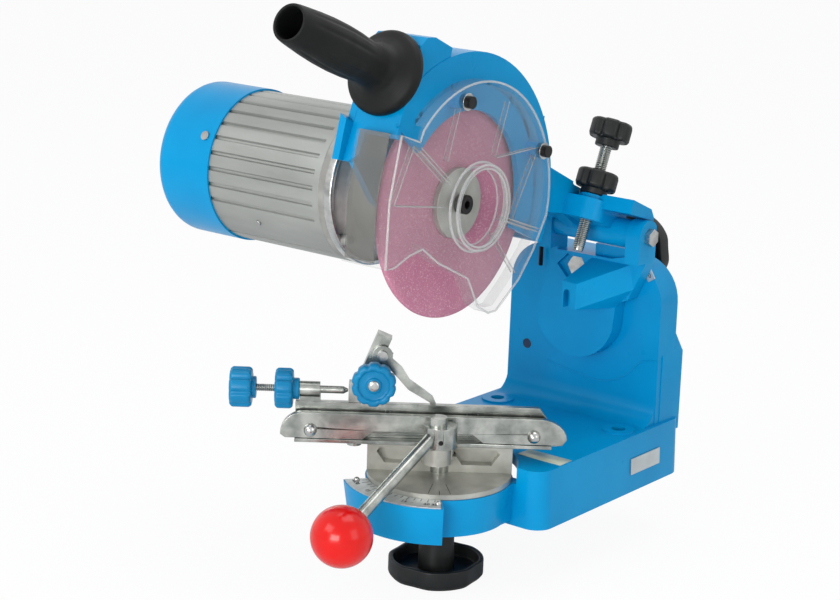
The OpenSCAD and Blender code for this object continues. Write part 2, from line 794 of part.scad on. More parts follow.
module motor_bell() {
    color("darkgray") at_wheel() difference() {
        union() {
            rod_x(motor_r, motor_x1, motor_x1 + 6);
            rod_x(motor_r - 1, motor_x1 + 6, motor_x1 + 15, 34);
            rod_x(34, motor_x1 + 15, back_x);
        }
        rod_x(motor_r - 6, motor_x1 - 1, motor_x1 + 6);
        rod_x(29, motor_x1 + 5, back_x - 13);
        rod_x(bearing_r, back_x - 14, back_x - 3);
        rod_x(12, back_x - 5, back_x + 1);
        for (a = [45:90:315]) rotate([a, 0, 0]) translate([0, 27, 0]) rod_x(2.5, back_x - 11, back_x + 1);
    }
}

module motor_housing() {
    color("silver") at_wheel() difference() {
        rod_x(motor_r, motor_x0, motor_x1);
        rod_x(stator_r, motor_x0 + 8, motor_x1 + 1);
        rod_x(bearing_r, motor_x0 - 1, motor_x0 + 9);
        for (i = [0:rib_count - 1])
            rotate([360 * i / rib_count, 0, 0])
                box([motor_x0 - 1, -1.4, motor_r - 2], [motor_x1 - 4, 1.4, motor_r + 2]);
    }
}

module motor_cap() {
    color("dodgerblue") at_wheel() difference() {
        translate([cap_x0, 0, 0]) rotate([0, 90, 0]) rotate_extrude() polygon(concat(
            [[0, 0]], arc(cap_r - 9, 9, 9, -90, 0, 8), [[cap_r, cap_len], [0, cap_len]]));
        rod_x(cap_r - 10, cap_x0 + 2.2, cap_x0 + 9, cap_r - 2.4);
        rod_x(cap_r - 2.4, cap_x0 + 9 - eps, motor_x0);
        rod_x(motor_r, motor_x0 - eps, motor_x0 + cap_lap + 1);
        for (i = [0:9])
            rotate([36 * i, 0, 0]) box([cap_x0 - 1, -2, 16], [cap_x0 + 4, 2, 36]);
    }
}

module motor_bolts() {
    color("#222222") at_wheel()
        for (a = [45:90:315])
            rotate([a, 0, 0]) translate([0, 27, 0]) {
                rod_x(2.5, back_x - 10, back_x + back_t);
                rod_x(4.5, back_x + back_t, back_x + back_t + 4);
            }
}

module cap_screws() {
    color("silver") at_wheel()
        for (a = [62:120:302])
            rotate([a, 0, 0]) translate([motor_x0 + 3, 0, cap_r - 0.2]) cylinder(r = 3, h = 1.6);
}

module stator() {
    color("dimgray") at_wheel() difference() {
        rod_x(stator_r, motor_x0 + 20, motor_x1 - 18);
        rod_x(28.5, motor_x0 + 19, motor_x1 - 17);
    }
}

module windings() {
    color("peru") at_wheel()
        for (x = [motor_x0 + 11, motor_x1 - 18])
            difference() {
                rod_x(39, x, x + 9);
                rod_x(29.5, x - 1, x + 10);
            }
}

module bearings() {
    color("silver") at_wheel()
        for (x = [motor_x0 - 0.5, back_x - 12.5])
            difference() {
                rod_x(bearing_r, x, x + bearing_w);
                rod_x(shaft_r + slip, x - 1, x + bearing_w + 1);
            }
}

module rotor_shaft() {
    color("silver") at_wheel() difference() {
        rod_x(shaft_r, cap_x0 + 14, nose_x);
        rod_x(3, nose_x - 20, nose_x + 1);
    }
}

module rotor_core() {
    color("dimgray") at_wheel() difference() {
        rod_x(28, motor_x0 + 20, motor_x1 - 18);
        rod_x(shaft_r, motor_x0 + 19, motor_x1 - 17);
    }
}

module cooling_fan() {
    color("#222222") at_wheel() difference() {
        union() {
            rod_x(12, cap_x0 + 16, cap_x0 + 32);
            rod_x(40, cap_x0 + 30, cap_x0 + 32);
            for (i = [0:8])
                rotate([40 * i, 0, 0]) box([cap_x0 + 16, -1, 8], [cap_x0 + 31, 1, 40]);
        }
        rod_x(shaft_r, cap_x0 + 10, cap_x0 + 40);
    }
}

module wheel_flanges() {
    color("gray") at_wheel() {
        difference() {
            union() {
                rod_x(11, -nose_x - 16, -nose_x - 6);
                rod_x(22, -nose_x - 6, -nose_x);
            }
            rod_x(shaft_r, -40, 20);
        }
        difference() {
            union() {
                rod_x(bore_r - slip, -nose_x, nose_x);
                rod_x(22, nose_x, nose_x + 4);
            }
            rod_x(shaft_r, -20, nose_x);
            rod_x(3, -20, 40);
        }
    }
}

module grinding_wheel() {
    color("palevioletred") at_wheel() difference() {
        rod_x(wheel_r, -nose_x, nose_x, fn = 128);
        rod_x(bore_r, -20, 20);
    }
}

module arbor_bolt() {
    color("#222222") at_wheel() difference() {
        union() {
            rod_x(3, nose_x - 18, nose_x + 4);
            rod_x(6, nose_x + 4, nose_x + 10);
        }
        rod_x(2.9, nose_x + 6, nose_x + 11, fn = 6);
    }
}

// ---- depth stop ----

module depth_screw() {
    color("silver") at_depth() translate([0, 0, depth_tip]) cylinder(r = depth_r, h = 88);
}

module depth_knob() {
    color("#1a1a1a") at_depth() translate([0, 0, 50.5])
        hand_knob(14, 12.5, 8, 5, depth_r + slip, 6);
}

module depth_lock_knob() {
    color("#1a1a1a") at_depth() translate([0, 0, beam_top + 3.2 + gap])
        hand_knob(14, 12, 9, 4, depth_r + slip, 6);
}

// ---- electrics ----

module at_switch() at_wheel() rotate([-95, 0, 0]) translate([motor_x0 + 60, 0, motor_r]) children();

module power_switch() {
    color("#1a1a1a") at_switch() difference() {
        box([-18, -13, -2], [18, 13, 12]);
        box([-12, -8, 7], [12, 8, 13]);
    }
}

module switch_rocker() {
    color("limegreen") at_switch() box([-11.5, -7.7, 9], [11.5, 7.7, 13]);
}

module cable_gland() {
    color("#1a1a1a") at_wheel() rotate([215, 0, 0]) translate([motor_x0 - 26, 0, cap_r - 0.4]) {
        cylinder(r = 8, h = 5, $fn = 6);
        translate([0, 0, 5]) cylinder(r1 = 7, r2 = 5, h = 9);
    }
}

base_casting();
scale_plate();
scale_rivets();
tilt_scale();
name_plate();
base_label();
turntable();
table_bolt();
table_knob();
rear_jaw();
jaw_pins();
jaw_screws();
cam_stud();
front_jaw();
cam_hub();
cam_rod();
cam_ball();
cam_set_screw();
feed_bracket();
feed_screw();
feed_knob();
feed_lock_knob();
stop_carriage();
stop_screw();
stop_knob();
chain_pawl();
pawl_pin();
stop_nut();
tilt_bracket();
tilt_bolt();
tilt_knob();
hinge_pin();
hinge_nut();
return_spring();
arm_casting();
wheel_guard();
guard_screws();
side_handle();
handle_stud();
motor_bell();
motor_housing();
motor_cap();
motor_bolts();
cap_screws();
stator();
windings();
bearings();
rotor_shaft();
rotor_core();
cooling_fan();
wheel_flanges();
grinding_wheel();
arbor_bolt();
depth_screw();
depth_knob();
depth_lock_knob();
power_switch();
switch_rocker();
cable_gland();
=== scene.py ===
# %% [markdown]
# # Chain grinder
# A bench grinder for saw chains: a cast base with a column, a turntable with a
# chain vise, and a motor head that hinges down over the vise. The rigid shapes
# come in as a frame. This lesson gives them finishes and adds the parts that
# need finer modelling: grips, knobs, threads, scales and the clear guard's ribs.

import math

import bmesh
import bpy
from mathutils import Matrix, Vector, noise


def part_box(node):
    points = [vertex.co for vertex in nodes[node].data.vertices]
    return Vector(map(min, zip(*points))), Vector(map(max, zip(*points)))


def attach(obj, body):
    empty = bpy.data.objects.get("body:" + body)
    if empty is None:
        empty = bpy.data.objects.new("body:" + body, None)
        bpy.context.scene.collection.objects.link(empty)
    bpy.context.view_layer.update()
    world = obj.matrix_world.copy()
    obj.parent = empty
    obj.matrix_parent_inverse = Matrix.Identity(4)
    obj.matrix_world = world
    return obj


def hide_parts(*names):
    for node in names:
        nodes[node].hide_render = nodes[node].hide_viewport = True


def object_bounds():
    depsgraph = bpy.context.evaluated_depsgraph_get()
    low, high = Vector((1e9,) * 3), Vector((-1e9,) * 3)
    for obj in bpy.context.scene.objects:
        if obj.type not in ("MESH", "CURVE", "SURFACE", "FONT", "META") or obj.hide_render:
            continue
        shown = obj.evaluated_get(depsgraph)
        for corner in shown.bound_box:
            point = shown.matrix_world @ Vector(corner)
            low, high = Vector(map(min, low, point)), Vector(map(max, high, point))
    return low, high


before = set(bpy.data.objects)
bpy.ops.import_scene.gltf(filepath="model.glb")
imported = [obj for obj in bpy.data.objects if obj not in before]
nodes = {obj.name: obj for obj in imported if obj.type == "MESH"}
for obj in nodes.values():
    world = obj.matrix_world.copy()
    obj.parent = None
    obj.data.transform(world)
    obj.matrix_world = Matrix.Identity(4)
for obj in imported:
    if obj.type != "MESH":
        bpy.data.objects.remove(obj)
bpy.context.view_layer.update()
print("nodes:", len(nodes))

# %% [markdown]
# ## Places on the machine
# Each group of pieces has its own frame, so that a piece can be drawn in simple
# millimetre coordinates about its own axis and then set in place.

# %% Frames of the groups
MM = Matrix.Scale(0.001, 4)


def at(x, y, z):
    return Matrix.Translation((x / 1000, y / 1000, z / 1000))


def turn(degrees, axis):
    return Matrix.Rotation(math.radians(degrees), 4, axis)


HEAD_LIFT = 23
TABLE_SWIVEL = 38
TABLE = at(0, -130, 0)
VISE = TABLE @ turn(TABLE_SWIVEL, "Z")
WHEEL = at(0, -127.5, 205)
HINGE = at(0, 17, 168.5)
LIFTED = HINGE @ turn(-HEAD_LIFT, "X")
DEPTH = LIFTED @ at(17.4, -22, 0)
HANDLE = WHEEL @ at(-10, -57, 84.5) @ turn(90 - HEAD_LIFT, "X")
TILT = at(0, 0, 140)
FEED = VISE @ at(0, 3.45, 81.5)
STOP_KNOB = VISE @ at(-42.7, -3.8, 90) @ turn(90, "X")
ALONG_X = turn(90, "Y")
print("wheel axis at", tuple(round(v, 4) for v in WHEEL.translation))

# %% [markdown]
# ## Finishes
# The machine has painted castings, bare machined ones, plated steel and plastic.
# Real enamel, castings and plastic are never one flat colour. A picture of each
# surface would do, but it needs unwrapped faces. So every finish is a small
# network instead: one noise shifts the colour, one changes the gloss, and one
# gives the fine relief.

# %% Helper for a finish
def srgb(r, g, b):
    def linear(v):
        v /= 255
        return v / 12.92 if v <= 0.04045 else ((v + 0.055) / 1.055) ** 2.4

    return (linear(r), linear(g), linear(b), 1)


COAT_ROUGH = 0.12
DRIFT_FROM, DRIFT_TO = 0.35, 0.68
GLOSS_LEAST, GLOSS_MOST = 0.75, 1.3


def finish(name, colour, other, rough, metal=0.0, coat=0.0, patch=40, grain=900, relief=0.15,
           depth=0.0002, stretch=(1, 1, 1), specular=0.5, spots=None):
    """Colour drifts to other in patches; grain is the scale of the relief, per metre."""
    made = bpy.data.materials.new(name)
    made.use_nodes = True
    tree = made.node_tree
    shader = tree.nodes["Principled BSDF"]
    shader.inputs["Metallic"].default_value = metal
    shader.inputs["Coat Weight"].default_value = coat
    shader.inputs["Coat Roughness"].default_value = COAT_ROUGH
    shader.inputs["Specular IOR Level"].default_value = specular
    where = tree.nodes.new("ShaderNodeTexCoord")
    scale = tree.nodes.new("ShaderNodeMapping")
    scale.inputs["Scale"].default_value = stretch
    tree.links.new(where.outputs["Object"], scale.inputs["Vector"])

    def noise_at(size, detail):
        node = tree.nodes.new("ShaderNodeTexNoise")
        node.inputs["Scale"].default_value = size
        node.inputs["Detail"].default_value = detail
        tree.links.new(scale.outputs["Vector"], node.inputs["Vector"])
        return node.outputs["Fac"]

    ramp = tree.nodes.new("ShaderNodeValToRGB")
    ramp.color_ramp.elements[0].position = DRIFT_FROM
    ramp.color_ramp.elements[1].position = DRIFT_TO
    ramp.color_ramp.elements[0].color = other
    ramp.color_ramp.elements[1].color = colour
    tree.links.new(noise_at(patch, 5), ramp.inputs["Fac"])
    tint = ramp.outputs["Color"]
    if spots:
        low, high, spot_colour, spot_scale = spots
        mask = tree.nodes.new("ShaderNodeValToRGB")
        mask.color_ramp.elements[0].position = low
        mask.color_ramp.elements[1].position = high
        tree.links.new(noise_at(spot_scale, 2), mask.inputs["Fac"])
        mix = tree.nodes.new("ShaderNodeMix")
        mix.data_type = "RGBA"
        tree.links.new(mask.outputs["Color"], mix.inputs["Factor"])
        tree.links.new(tint, mix.inputs["A"])
        mix.inputs["B"].default_value = spot_colour
        tint = mix.outputs["Result"]
    tree.links.new(tint, shader.inputs["Base Color"])
    gloss = tree.nodes.new("ShaderNodeMapRange")
    gloss.inputs["To Min"].default_value = rough * GLOSS_LEAST
    gloss.inputs["To Max"].default_value = min(1, rough * GLOSS_MOST)
    tree.links.new(noise_at(patch * 3, 4), gloss.inputs["Value"])
    tree.links.new(gloss.outputs["Result"], shader.inputs["Roughness"])
    bump = tree.nodes.new("ShaderNodeBump")
    bump.inputs["Strength"].default_value = relief
    bump.inputs["Distance"].default_value = depth
    tree.links.new(noise_at(grain, 3), bump.inputs["Height"])
    tree.links.new(bump.outputs["Normal"], shader.inputs["Normal"])
    return made


# %% The finishes of this machine
ENAMEL = finish("blue_enamel", srgb(0, 147, 203), srgb(0, 137, 193), 0.3, coat=0.05, patch=18,
                grain=700, relief=0.10, specular=0.12)
CAST = finish("machined_casting", srgb(186, 186, 178), srgb(158, 158, 150), 0.4, metal=0.6, patch=60,
              grain=1500, relief=0.25)
ZINC = finish("zinc_plate", srgb(186, 188, 182), srgb(132, 136, 132), 0.24, metal=0.95, patch=90,
              grain=1200, relief=0.12)
BRIGHT = finish("bright_steel", srgb(205, 206, 204), srgb(165, 166, 164), 0.2, metal=1, patch=120,
                grain=1600, relief=0.1)
RIBBED = finish("motor_aluminium", srgb(166, 168, 164), srgb(144, 146, 142), 0.45, metal=0.55, patch=35,
                grain=1400, relief=0.2, stretch=(0.25, 1, 1))
BELL = finish("bell_casting", srgb(172, 171, 166), srgb(140, 139, 135), 0.5, metal=0.55, patch=60,
              grain=900, relief=0.35)
BLACK = finish("black_plastic", srgb(28, 30, 29), srgb(18, 20, 20), 0.42, patch=50, grain=1100,
               relief=0.3, specular=0.3)
GRIP = finish("grip_plastic", srgb(20, 22, 20), srgb(12, 14, 13), 0.5, patch=30, grain=1300,
              relief=0.4, specular=0.2)
OXIDE = finish("black_oxide", srgb(36, 34, 33), srgb(20, 19, 18), 0.4, metal=0.5, patch=200,
               grain=1500, relief=0.2)
KNOB_BLUE = finish("blue_plastic", srgb(8, 130, 178), srgb(4, 118, 166), 0.3, patch=60, grain=900,
                   relief=0.08, specular=0.25)
RED = finish("red_plastic", srgb(222, 12, 4), srgb(206, 6, 2), 0.2, coat=0.25, patch=30, grain=300,
             relief=0.02, specular=0.25)
GRIT = finish("pink_grit", srgb(200, 136, 158), srgb(186, 120, 144), 0.9, patch=14, grain=1900,
              relief=0.9, depth=0.0005, specular=0.2, spots=(0.60, 0.68, srgb(236, 200, 212), 1500))
PLATE = finish("satin_plate", srgb(205, 210, 210), srgb(180, 186, 188), 0.3, metal=0.6, patch=40,
               grain=2000, relief=0.06, stretch=(6, 1, 1))
STICKER = finish("bare_sticker", srgb(190, 196, 176), srgb(170, 178, 160), 0.35, patch=60, grain=900,
                 relief=0.05)
INK = finish("black_ink", srgb(30, 32, 34), srgb(18, 20, 22), 0.5, patch=90, grain=1500, relief=0.1)
# Painted shade: a dark navy that stands in for the shade inside the column's cored hole.
SHADOW = finish("hole_painted_shade", srgb(10, 48, 84), srgb(6, 36, 66), 0.6, patch=90, grain=900, relief=0.2)
IRON = finish("lamination_steel", srgb(90, 90, 92), srgb(66, 66, 68), 0.5, metal=0.8, patch=50,
              grain=800, relief=0.3, stretch=(12, 1, 1))
COPPER = finish("copper_wire", srgb(190, 112, 62), srgb(150, 84, 44), 0.35, metal=1, patch=80,
                grain=1200, relief=0.5)
GREEN = finish("green_rocker", srgb(30, 140, 70), srgb(22, 118, 58), 0.3, patch=80, grain=900,
               relief=0.08)
print("finishes:", len(bpy.data.materials))

# %% [markdown]
# ## Clear plastic
# The guard is moulded in clear plastic. A shader that bends light through it is
# true to life, but slow and grainy on such thin walls. Seen square on, the guard
# only veils what lies behind it, and seen edge on it turns milky and bright. So
# its opacity follows Layer Weight's facing value, which is quick and clean.

# %% Clear finish
EDGE_BLEND = 0.35


def clear_finish(name, thin, thick, tone):
    """Opacity goes from thin, seen square on, to thick, seen edge on."""
    made = finish(name, tone, tone, 0.1, patch=20, grain=200, relief=0.04, specular=0.3)
    tree = made.node_tree
    shader = tree.nodes["Principled BSDF"]
    facing = tree.nodes.new("ShaderNodeLayerWeight")
    facing.inputs["Blend"].default_value = EDGE_BLEND
    opacity = tree.nodes.new("ShaderNodeMapRange")
    opacity.inputs["To Min"].default_value = thin
    opacity.inputs["To Max"].default_value = thick
    tree.links.new(facing.outputs["Facing"], opacity.inputs["Value"])
    tree.links.new(opacity.outputs["Result"], shader.inputs["Alpha"])
    return made


CLEAR = clear_finish("clear_guard", 0.03, 0.30, srgb(168, 170, 168))
# Paler and more opaque than the guard: a painted highlight for the tubes along the guard's rib edges and
# rims.
CLEAR_PAINTED_HIGHLIGHT = clear_finish("clear_painted_highlight", 0.30, 0.70, srgb(214, 216, 214))
DUSTY = clear_finish("dusty_wall", 0.50, 0.70, srgb(112, 111, 106))
print("clear finishes:", CLEAR.name, CLEAR_PAINTED_HIGHLIGHT.name, DUSTY.name)

# %% [markdown]
# ## Dress the frame
# Cast and turned parts have no knife edges: a thin bright line runs along each
# edge. Roundings could be built into every solid, but a modifier does it in one
# place. A weld joins the imported faces, and a small bevel rounds each edge,
# wider on castings than on small hardware.

# %% Finish and edge width of each node
DRESS = {
    "base_casting": (ENAMEL, 1.2), "tilt_bracket": (ENAMEL, 0.9), "arm_casting": (ENAMEL, 0.9),
    "motor_cap": (ENAMEL, 0.8), "scale_plate": (PLATE, 0.1), "scale_rivets": (BRIGHT, 0),
    "tilt_scale": (PLATE, 0.1), "name_plate": (PLATE, 0.15), "base_label": (STICKER, 0),
    "turntable": (CAST, 0.6), "table_bolt": (ZINC, 0.3), "rear_jaw": (ZINC, 0.4),
    "jaw_pins": (BRIGHT, 0), "jaw_screws": (ZINC, 0.3), "cam_stud": (ZINC, 0.5),
    "front_jaw": (ZINC, 0.7), "cam_hub": (ZINC, 0.6), "cam_rod": (ZINC, 0.3), "cam_ball": (RED, 0),
    "cam_set_screw": (OXIDE, 0.1), "feed_bracket": (ZINC, 0.4), "stop_carriage": (ZINC, 0.3),
    "chain_pawl": (ZINC, 0.25), "pawl_pin": (BRIGHT, 0.2), "stop_nut": (ZINC, 0.3),
    "tilt_bolt": (BRIGHT, 0.4), "hinge_pin": (BRIGHT, 0.5), "hinge_nut": (BRIGHT, 0.4),
    "return_spring": (OXIDE, 0), "wheel_guard": (CLEAR, 0.5), "guard_screws": (OXIDE, 0.3),
    "handle_stud": (ZINC, 0.2), "motor_bell": (BELL, 0.6), "motor_housing": (RIBBED, 0.35),
    "motor_bolts": (OXIDE, 0.3), "cap_screws": (BRIGHT, 0.3), "stator": (IRON, 0.3),
    "windings": (COPPER, 0.8), "bearings": (BRIGHT, 0.3), "rotor_shaft": (ZINC, 0.3),
    "rotor_core": (IRON, 0.3), "cooling_fan": (BLACK, 0.3), "wheel_flanges": (CAST, 0.5),
    "arbor_bolt": (OXIDE, 0.4), "power_switch": (BLACK, 0.7), "switch_rocker": (GREEN, 0.4),
    "cable_gland": (BLACK, 0.5),
}


WELD_REACH = 0.00001
EDGE_ANGLE = 32


def dress(name, material, edge_mm):
    """Gives a node its finish and rounds its edges; a width of 0 leaves them."""
    node = nodes[name]
    mesh = node.data
    mesh.materials.clear()
    mesh.materials.append(material)
    if "custom_normal" in mesh.attributes:
        mesh.attributes.remove(mesh.attributes["custom_normal"])
    mesh.polygons.foreach_set("use_smooth", [True] * len(mesh.polygons))
    weld = node.modifiers.new("weld", "WELD")
    weld.merge_threshold = WELD_REACH
    if edge_mm:
        edge = node.modifiers.new("edge", "BEVEL")
        edge.width = edge_mm / 1000
        edge.segments = 2
        edge.limit_method = "ANGLE"
        edge.angle_limit = math.radians(EDGE_ANGLE)
        edge.harden_normals = True
        edge.use_clamp_overlap = True


for name, (material, edge_mm) in DRESS.items():
    dress(name, material, edge_mm)
print("dressed:", len(DRESS), "of", len(nodes))

# %% [markdown]
# ## Making pieces
# Most of the remaining pieces are turned, moulded or bent. They could be shaped
# by hand in edit mode, but plain rules are easier to check and to change. A lathe
# makes turned shapes, a slab makes flat ones, and a tube follows a path.

# %% Put a mesh in place
DOUBLES = 0.0005


def piece(name, verts, faces, place, body, material, slot, sharp=38):
    """A mesh in millimetres, set in place on a body; edges over sharp degrees stay crisp."""
    mesh = bpy.data.meshes.new(name)
    mesh.from_pydata([tuple(v) for v in verts], [], faces)
    work = bmesh.new()
    work.from_mesh(mesh)
    bmesh.ops.remove_doubles(work, verts=work.verts, dist=DOUBLES)
    bmesh.ops.recalc_face_normals(work, faces=work.faces)
    work.to_mesh(mesh)
    work.free()
    mesh.transform(place @ MM)
    mesh.materials.append(material)
    mesh.polygons.foreach_set("use_smooth", [True] * len(mesh.polygons))
    mesh.set_sharp_from_angle(angle=math.radians(sharp))
    made = bpy.data.objects.new(name, mesh)
    bpy.context.scene.collection.objects.link(made)
    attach(made, body)
    print(name, "has", len(mesh.vertices), "points")
    return made


# %% Turned shapes
def soften(points, radius, steps=3):
    """Rounds each inner corner of an open profile."""
    made = [points[0]]
    for before, corner, after in zip(points, points[1:], points[2:]):
        b, c, a = Vector(before), Vector(corner), Vector(after)
        reach = min(radius, (b - c).length / 2.1, (a - c).length / 2.1)
        start, end = c + (b - c).normalized() * reach, c + (a - c).normalized() * reach
        for i in range(steps + 1):
            t = i / steps
            made.append(tuple(start * (1 - t) ** 2 + c * 2 * t * (1 - t) + end * t * t))
    return made + [points[-1]]


def lathe(profile, steps=96, wave=None):
    """Turns (radius, height) points about Z and closes the profile; wave(angle, r, z) scales r."""
    verts, faces, count = [], [], len(profile)
    for i in range(steps):
        a = 2 * math.pi * i / steps
        for r, z in profile:
            k = r * wave(a, r, z) if wave else r
            verts.append((k * math.cos(a), k * math.sin(a), z))
    for i in range(steps):
        j = (i + 1) % steps
        for k in range(count):
            m = (k + 1) % count
            faces.append((i * count + k, j * count + k, j * count + m, i * count + m))
    return verts, faces


# %% Flat strips and tubes
def slab(points, low, high):
    """An outline in the XY plane, from height low to high."""
    n = len(points)
    verts = [(x, y, low) for x, y in points] + [(x, y, high) for x, y in points]
    faces = [tuple(range(n)), tuple(range(n, 2 * n))]
    faces += [(i, (i + 1) % n, n + (i + 1) % n, n + i) for i in range(n)]
    return verts, faces


def skin(rows, steps):
    """Faces between rows of points that each go round once, with a cap at both ends."""
    faces = []
    for i in range(rows):
        for k in range(steps):
            m = (k + 1) % steps
            faces.append((i * steps + k, i * steps + m, (i + 1) * steps + m, (i + 1) * steps + k))
    return faces + [tuple(range(steps)), tuple(range(rows * steps, (rows + 1) * steps))]


def tube(path, radius, steps=10):
    """A round bar along a path of points, closed at both ends."""
    path = [Vector(p) for p in path]
    verts, side = [], None
    for i, p in enumerate(path):
        along = (path[min(i + 1, len(path) - 1)] - path[max(i - 1, 0)]).normalized()
        if side is None:
            side = along.orthogonal().normalized()
        side = (side - along * side.dot(along)).normalized()
        up = along.cross(side)
        for k in range(steps):
            a = 2 * math.pi * k / steps
            verts.append(p + (side * math.cos(a) + up * math.sin(a)) * radius)
    return verts, skin(len(path) - 1, steps)


def along_x(mesh, y=0, z=0):
    """Lays a mesh that was drawn about Z along X, and shifts it by (y, z)."""
    verts, faces = mesh
    return [(h, y + a, z + b) for a, b, h in verts], faces


def joined(parts):
    """Several (verts, faces) as one."""
    verts, faces = [], []
    for v, f in parts:
        faces += [tuple(k + len(verts) for k in face) for face in f]
        verts += list(v)
    return verts, faces


# %% [markdown]
# ## Hand knobs
# Five small knobs turn or lock the feed, the chain stop and the depth stop. They
# are moulded with a scalloped rim and a collar. The scallops could be cut with
# booleans, which leave ragged faces. A cosine wave on the lathe's radius,
# sharpened towards the notches, keeps the mesh even, and the collar stays round.

# %% Scalloped knobs
SCALLOP_BLEND = 3
KNOB_STEPS = 144
DISH_OUT, DISH_IN, DISH_DEEP = 0.74, 0.36, 1.6


def scallops(lobes, depth, inner):
    """A wave of notches for the lathe; what lies within the inner radius stays round."""
    def wave(angle, r, z):
        if r <= inner:
            return 1
        notch = max(0, -math.cos(lobes * angle)) ** 1.6
        return 1 - depth * notch * min(1, (r - inner) / SCALLOP_BLEND)

    return wave


def hand_knob(name, node, place, material, slot, r, h, collar_r, collar_h, bore, lobes, depth=0.11):
    """A knob on its collar, with a dished top; node is its body and the solid it replaces."""
    top = collar_h + h
    rim = [(bore, 0), (collar_r, 0), (collar_r, collar_h), (r - 1.2, collar_h), (r, collar_h + 1.6),
           (r, top - 1.6), (r - 1.4, top)]
    dish = [(r * DISH_OUT, top), (r * (DISH_OUT - 0.08), top - DISH_DEEP),
            (r * DISH_IN, top - DISH_DEEP), (r * (DISH_IN - 0.03), top - 0.2), (bore, top - 0.2)]
    turned = lathe(soften(rim + dish, 0.8), KNOB_STEPS, scallops(lobes, depth, collar_r + 0.5))
    knob = piece(name, *turned, place, node, material, slot)
    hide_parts(node)


# %% Knobs of the feed and the chain stop
EIGHT_LOBES, TEN_LOBES, SIX_LOBES = 8, 10, 6
HALF_LOBE = turn(180 / EIGHT_LOBES, "Z")
TO_LEFT = turn(-90, "Y")
hand_knob("feed_knob_moulding", "feed_knob", FEED @ at(-117, 0, 0) @ TO_LEFT @ HALF_LOBE, KNOB_BLUE,
          "blue_plastic", r=12.8, h=13.9, collar_r=7, collar_h=2.6, bore=2.45, lobes=EIGHT_LOBES)
hand_knob("feed_lock_moulding", "feed_lock_knob", FEED @ at(-89.7, 0, 0) @ TO_LEFT @ HALF_LOBE,
          KNOB_BLUE, "blue_plastic", r=12.8, h=11.3, collar_r=6.8, collar_h=4, bore=2.45,
          lobes=EIGHT_LOBES)
hand_knob("stop_knob_moulding", "stop_knob", STOP_KNOB @ turn(180 / TEN_LOBES, "Z"), KNOB_BLUE,
          "blue_plastic", r=14, h=9, collar_r=8, collar_h=2, bore=3.05, lobes=TEN_LOBES, depth=0.08)

# %% Knobs of the depth stop
hand_knob("depth_knob_moulding", "depth_knob", DEPTH @ at(0, 0, 50.5), BLACK, "black_plastic", r=14,
          h=12.5, collar_r=8, collar_h=5, bore=4.05, lobes=SIX_LOBES, depth=0.16)
hand_knob("depth_lock_moulding", "depth_lock_knob", DEPTH @ at(0, 0, 17.5), BLACK, "black_plastic",
          r=14, h=12, collar_r=9, collar_h=4, bore=4.05, lobes=SIX_LOBES, depth=0.16)

# %% [markdown]
# ## Cup knobs
# Two large knobs clamp the turntable from below and the tilting head from
# behind. Each is a hollow cup with a hub inside and four shallow thumb notches
# round the skirt. The lathe and its wave serve here too, with a deeper profile
# that goes up inside the cup.

# %% Cup knobs
SKIRT, WALL, THUMB_NOTCHES = 13, 3, 4
NOTCH_TURN = turn(53, "Z")


def cup_knob(name, node, place, r, hub_h, bore):
    """A cup with its closed end at the foot; node is its body and the solid it replaces."""
    outside = [(bore, 0), (r - 2.5, 0), (r, 3), (r, SKIRT), (r - WALL, SKIRT)]
    inside = [(r - WALL - 0.5, 5), (11.5, 5), (11, hub_h), (bore, hub_h)]
    wave = scallops(THUMB_NOTCHES, 0.055, r - 6.6)
    turned = lathe(soften(outside + inside, 0.9), 160, wave)
    knob = piece(name, *turned, place @ NOTCH_TURN, node, BLACK, "black_plastic")
    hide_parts(node)


KNOB_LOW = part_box("table_knob")[0].z * 1000
TILT_KNOB_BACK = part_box("tilt_knob")[1].y * 1000
cup_knob("table_knob_moulding", "table_knob", TABLE @ at(0, 0, KNOB_LOW), 30.6, 2.7 - KNOB_LOW, 6.05)
cup_knob("tilt_knob_moulding", "tilt_knob", TILT @ at(0, TILT_KNOB_BACK, 0) @ turn(90, "X"), 26, 38.2,
         5.05)

# %% [markdown]
# ## Screws with threads
# Three long screws show their threads. A picture of a thread looks flat from the
# side, and a thread cut by a boolean has thousands of slivers. Here the screw is
# a cylinder whose radius rises and falls along a helix. The grid of points
# follows the pitch, so the ridges stay sharp.

# %% Threads
PITCH = 1.25
THREAD_SIDES, ROWS_PER_TURN, TAPER = 24, 6, 3


def threaded(name, node, body, place, r, plain, tip, depth=0.55):
    """plain is a list of (low, high) heights left smooth; tip is the radius at the low end."""
    high = plain[-1][1]
    rows = int(high / PITCH * ROWS_PER_TURN)
    verts = []
    for i in range(rows + 1):
        z = high * i / rows
        smooth = any(a <= z <= b for a, b in plain)
        for k in range(THREAD_SIDES):
            a = 2 * math.pi * k / THREAD_SIDES
            phase = (z / PITCH - a / (2 * math.pi)) % 1
            cut = 0 if smooth else depth * (1 - abs(2 * phase - 1))
            if z < TAPER:
                cut = max(cut, (r - tip) * (1 - z / TAPER))
            verts.append(((r - cut) * math.cos(a), (r - cut) * math.sin(a), z))
    screw = piece(name, verts, skin(rows, THREAD_SIDES), place, body, ZINC, "steel", 60)
    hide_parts(node)


threaded("depth_screw_thread", "depth_screw", "depth_screw", DEPTH @ at(0, 0, -20.6), 4, [(80, 88)], 3.2)
threaded("feed_screw_thread", "feed_screw", "feed_screw", FEED @ at(-59, 0, 0) @ TO_LEFT, 2.4,
         [(0, 19), (66, 72)], 0.8, depth=0.4)
threaded("stop_screw_thread", "stop_screw", "stop_carriage",
         VISE @ at(-42.7, -14.0, 90) @ turn(-90, "X"), 3, [(0, 4), (18, 19)], 2.2)

# %% [markdown]
# ## Handle
# The grip is a hollow black moulding: a wide flange against the housing, a neck,
# and a barrel with shallow flutes for the fingers. Its outer end is open. It is
# round all over but for the flutes, so one lathe profile that runs up the outside
# and back down the hole gives it, and a faint wave adds the flutes.

